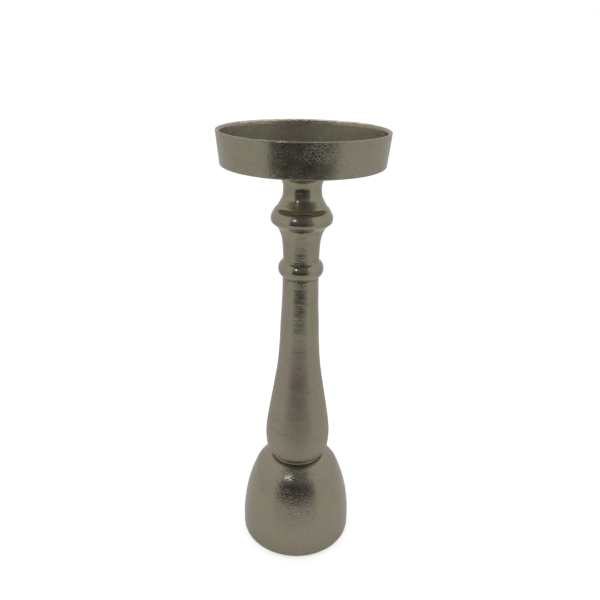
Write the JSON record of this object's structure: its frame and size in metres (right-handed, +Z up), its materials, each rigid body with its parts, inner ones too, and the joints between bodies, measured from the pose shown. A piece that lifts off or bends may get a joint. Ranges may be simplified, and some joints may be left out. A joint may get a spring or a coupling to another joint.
{
  "type": "candlestick",
  "caption": "Tall turned pillar-candle stand in cast metal: shallow flared dish on a beaded neck, a long baluster stem and a hollow bell-shaped base.",
  "frame": {"origin": "centre of the footprint, on the surface that the stand's felt pads rest on", "axes": "+Z up along the axis that every casting is turned about; the front is -Y"},
  "size_m": [0.116, 0.116, 0.33],
  "materials": {
    "cast_silver": "satin sand-cast aluminium, warm silver, lightly tarnished and fine-grained",
    "zinc_steel": "zinc-plated steel",
    "felt": "pressed wool felt, self-adhesive pads"
  },
  "bodies": {
    "root": {"candle_pan": "cast_silver", "flared_neck": "cast_silver", "beaded_collar": "cast_silver", "baluster_stem": "cast_silver", "bell_base": "cast_silver", "tie_rod": "zinc_steel", "sleeve_nut": "zinc_steel", "flat_washer": "zinc_steel", "lock_washer": "zinc_steel", "hex_nut": "zinc_steel", "felt_pad_1": "felt", "felt_pad_2": "felt", "felt_pad_3": "felt", "felt_pad_4": "felt"}
  },
  "joints": []
}
